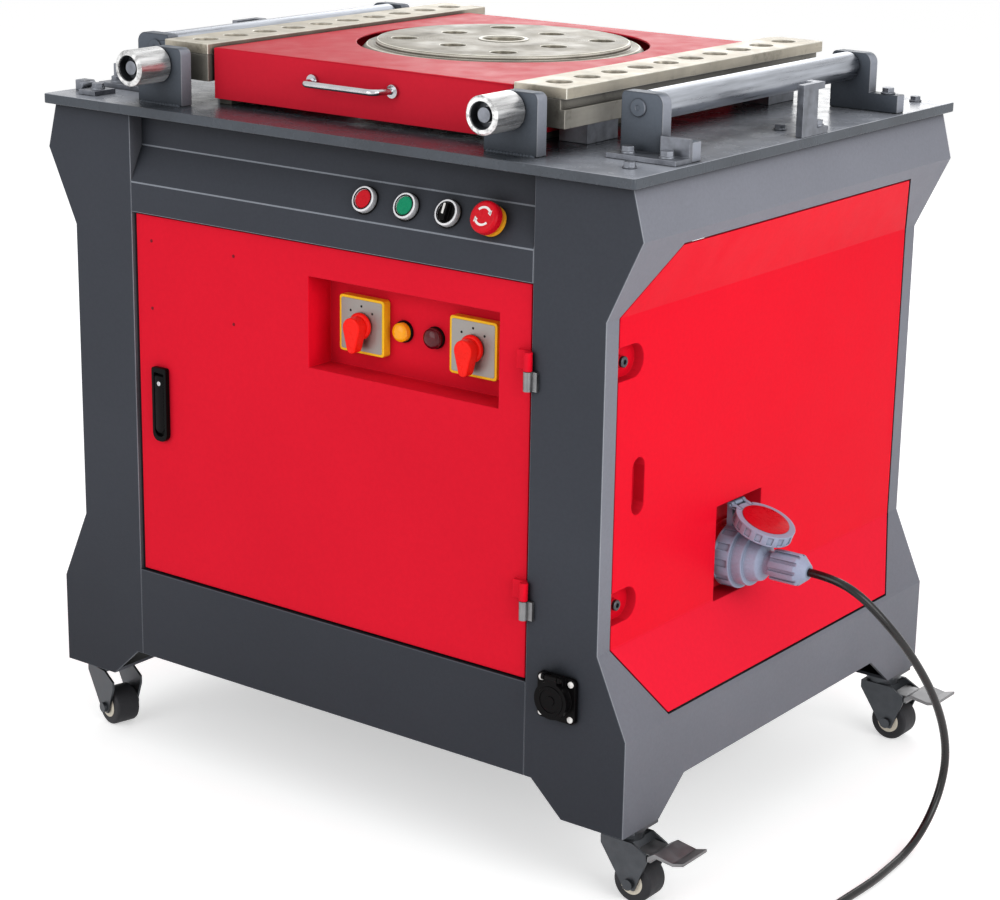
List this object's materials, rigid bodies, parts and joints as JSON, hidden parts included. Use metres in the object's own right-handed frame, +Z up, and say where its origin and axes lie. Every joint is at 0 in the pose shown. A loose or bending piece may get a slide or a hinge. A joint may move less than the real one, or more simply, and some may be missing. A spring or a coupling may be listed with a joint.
{
  "type": "rebar bending machine",
  "caption": "Floor-standing rebar bender: waisted steel cabinet on braked casters, table with a rotating disc, perforated bars, rollers, hinged cover, control door and power cord.",
  "frame": {"origin": "on the floor under the turntable's axis", "axes": "+Z up along the turntable's axis, the door faces -Y, the power inlet is on the +X side"},
  "size_m": [1.2186, 0.787, 0.91],
  "materials": {
    "cabinet_grey": "satin",
    "panel_red": "gloss",
    "bare_steel": "satin",
    "chrome": "gloss",
    "zinc": "satin",
    "cast_grey": "rough",
    "dark_plastic": "matte",
    "grey_plastic": "satin",
    "red_plastic": "gloss",
    "green_plastic": "gloss",
    "yellow_plastic": "gloss",
    "cable_rubber": "matte",
    "tyre_grey": "matte"
  },
  "bodies": {
    "cabinet": {"front_posts": "cabinet_grey", "rear_posts": "cabinet_grey", "upper_side_bands": "cabinet_grey", "lower_side_sills": "cabinet_grey", "side_cover_right": "panel_red", "side_cover_left": "panel_red", "aprons": "cabinet_grey", "rear_cover": "panel_red", "console_panel": "cabinet_grey", "floor_pan": "cabinet_grey", "table_plate": "cabinet_grey", "table_rails": "cabinet_grey", "perforated_bars": "bare_steel", "roller_brackets": "cabinet_grey", "table_hardware": "zinc", "gearbox_housing": "cast_grey", "motor_body": "cast_grey", "drive_belt": "cable_rubber", "control_gear": "grey_plastic", "control_bezels": "chrome", "emergency_collar": "yellow_plastic", "hinge_leaves": "zinc", "service_outlet": "dark_plastic", "power_inlet": "dark_plastic", "power_connector": "grey_plastic", "power_cable": "cable_rubber", "cable_coil": "cable_rubber", "cable_end_plug": "grey_plastic", "caster_plates": "zinc"},
    "turntable": {"work_disc": "bare_steel", "main_shaft": "bare_steel"},
    "worm": {"worm_shaft": "bare_steel"},
    "motor_shaft": {"motor_pulley": "bare_steel"},
    "front_roller_left": {"short_roller_left": "chrome"},
    "front_roller_right": {"short_roller_right": "chrome"},
    "side_roller_left": {"long_roller_left": "chrome"},
    "side_roller_right": {"long_roller_right": "chrome"},
    "cover": {"top_cover": "panel_red", "top_cover_handle": "chrome"},
    "door": {"door": "panel_red", "door_controls": "dark_plastic"},
    "lock": {"lock_handle": "dark_plastic"},
    "knob_left": {"switch_knob_left": "red_plastic"},
    "knob_right": {"switch_knob_right": "red_plastic"},
    "stop": {"stop_button": "red_plastic"},
    "start": {"start_button": "green_plastic"},
    "selector": {"selector_knob": "dark_plastic"},
    "emergency": {"emergency_button": "red_plastic"},
    "connector_flap": {"connector_lid": "grey_plastic"},
    "outlet_flap": {"outlet_lid": "dark_plastic"},
    "swivel_front_left": {"caster_fork_front_left": "zinc"},
    "wheel_front_left": {"caster_wheel_front_left": "tyre_grey"},
    "swivel_front_right": {"caster_fork_front_right": "zinc"},
    "wheel_front_right": {"caster_wheel_front_right": "tyre_grey"},
    "pedal_front_right": {"brake_pedal_front_right": "zinc"},
    "swivel_rear_left": {"caster_fork_rear_left": "zinc"},
    "wheel_rear_left": {"caster_wheel_rear_left": "tyre_grey"},
    "swivel_rear_right": {"caster_fork_rear_right": "zinc"},
    "wheel_rear_right": {"caster_wheel_rear_right": "tyre_grey"},
    "pedal_rear_right": {"brake_pedal_rear_right": "zinc"}
  },
  "joints": [
    {"name": "turntable_spin", "type": "hinge", "parent": "cabinet", "child": "turntable", "pos_m": [0, 0, 0.879], "axis": [0, 0, 1], "continuous": true},
    {"name": "worm_spin", "type": "hinge", "parent": "cabinet", "child": "worm", "pos_m": [0, 0.1215, 0.71], "axis": [1, 0, 0], "continuous": true},
    {"name": "motor_spin", "type": "hinge", "parent": "cabinet", "child": "motor_shaft", "pos_m": [-0.14, 0.1215, 0.3], "axis": [1, 0, 0], "continuous": true},
    {"name": "front_roller_left_spin", "type": "hinge", "parent": "cabinet", "child": "front_roller_left", "pos_m": [-0.271, -0.35, 0.886], "axis": [0, 1, 0], "continuous": true},
    {"name": "side_roller_left_spin", "type": "hinge", "parent": "cabinet", "child": "side_roller_left", "pos_m": [-0.361, 0, 0.89], "axis": [0, 1, 0], "continuous": true},
    {"name": "front_roller_right_spin", "type": "hinge", "parent": "cabinet", "child": "front_roller_right", "pos_m": [0.253, -0.35, 0.886], "axis": [0, 1, 0], "continuous": true},
    {"name": "side_roller_right_spin", "type": "hinge", "parent": "cabinet", "child": "side_roller_right", "pos_m": [0.361, 0, 0.89], "axis": [0, 1, 0], "continuous": true},
    {"name": "cover_hinge", "type": "hinge", "parent": "cabinet", "child": "cover", "pos_m": [0, 0.227, 0.8473], "axis": [-1, 0, 0], "range_deg": [0, 70]},
    {"name": "door_hinge", "type": "hinge", "parent": "cabinet", "child": "door", "pos_m": [0.302, -0.3503, 0.476], "axis": [0, 0, 1], "range_deg": [0, 100]},
    {"name": "lock_turn", "type": "hinge", "parent": "door", "child": "lock", "pos_m": [-0.261, -0.3455, 0.505], "axis": [-1, 0, 0], "range_deg": [0, 40]},
    {"name": "knob_left_turn", "type": "hinge", "parent": "door", "child": "knob_left", "pos_m": [0.035, -0.315, 0.611], "axis": [0, 1, 0], "range_deg": [-60, 60]},
    {"name": "knob_right_turn", "type": "hinge", "parent": "door", "child": "knob_right", "pos_m": [0.198, -0.315, 0.611], "axis": [0, 1, 0], "range_deg": [-60, 60]},
    {"name": "stop_press", "type": "slide", "parent": "cabinet", "child": "stop", "axis": [0, 0.9067, -0.4217], "range_m": [0, 0.003], "stiffness_N_per_m": 200},
    {"name": "start_press", "type": "slide", "parent": "cabinet", "child": "start", "axis": [0, 0.9067, -0.4217], "range_m": [0, 0.003], "stiffness_N_per_m": 200},
    {"name": "selector_turn", "type": "hinge", "parent": "cabinet", "child": "selector", "pos_m": [0.18, -0.335, 0.7645], "axis": [0, -0.9067, 0.4217], "range_deg": [-45, 45]},
    {"name": "emergency_press", "type": "slide", "parent": "cabinet", "child": "emergency", "axis": [0, 0.9067, -0.4217], "range_m": [0, 0.004], "stiffness_N_per_m": 300},
    {"name": "connector_flap_hinge", "type": "hinge", "parent": "cabinet", "child": "connector_flap", "pos_m": [0.396, -0.056, 0.407], "axis": [0, -1, 0], "range_deg": [0, 60]},
    {"name": "outlet_flap_hinge", "type": "hinge", "parent": "cabinet", "child": "outlet_flap", "pos_m": [0.35, -0.3603, 0.267], "axis": [-1, 0, 0], "range_deg": [0, 90]},
    {"name": "swivel_front_left_turn", "type": "hinge", "parent": "cabinet", "child": "swivel_front_left", "pos_m": [-0.414, -0.296, 0.076], "axis": [0, 0, 1], "continuous": true},
    {"name": "wheel_front_left_spin", "type": "hinge", "parent": "swivel_front_left", "child": "wheel_front_left", "pos_m": [-0.39459, -0.30084, 0.025], "axis": [0.2419, 0.9703, 0], "continuous": true},
    {"name": "swivel_front_right_turn", "type": "hinge", "parent": "cabinet", "child": "swivel_front_right", "pos_m": [0.414, -0.296, 0.076], "axis": [0, 0, 1], "continuous": true},
    {"name": "wheel_front_right_spin", "type": "hinge", "parent": "swivel_front_right", "child": "wheel_front_right", "pos_m": [0.434, -0.296, 0.025], "axis": [0, 1, 0], "continuous": true},
    {"name": "pedal_front_right_tilt", "type": "hinge", "parent": "swivel_front_right", "child": "pedal_front_right", "pos_m": [0.448, -0.296, 0.062], "axis": [0, 1, 0], "range_deg": [0, 14]},
    {"name": "swivel_rear_left_turn", "type": "hinge", "parent": "cabinet", "child": "swivel_rear_left", "pos_m": [-0.414, 0.309, 0.076], "axis": [0, 0, 1], "continuous": true},
    {"name": "wheel_rear_left_spin", "type": "hinge", "parent": "swivel_rear_left", "child": "wheel_rear_left", "pos_m": [-0.39459, 0.30416, 0.025], "axis": [0.2419, 0.9703, 0], "continuous": true},
    {"name": "swivel_rear_right_turn", "type": "hinge", "parent": "cabinet", "child": "swivel_rear_right", "pos_m": [0.414, 0.309, 0.076], "axis": [0, 0, 1], "continuous": true},
    {"name": "wheel_rear_right_spin", "type": "hinge", "parent": "swivel_rear_right", "child": "wheel_rear_right", "pos_m": [0.434, 0.309, 0.025], "axis": [0, 1, 0], "continuous": true},
    {"name": "pedal_rear_right_tilt", "type": "hinge", "parent": "swivel_rear_right", "child": "pedal_rear_right", "pos_m": [0.448, 0.309, 0.062], "axis": [0, 1, 0], "range_deg": [0, 14]}
  ],
  "couplings": [
    {"joint": "worm_spin", "follows": "turntable_spin", "ratio": 20},
    {"joint": "motor_spin", "follows": "turntable_spin", "ratio": 40}
  ]
}
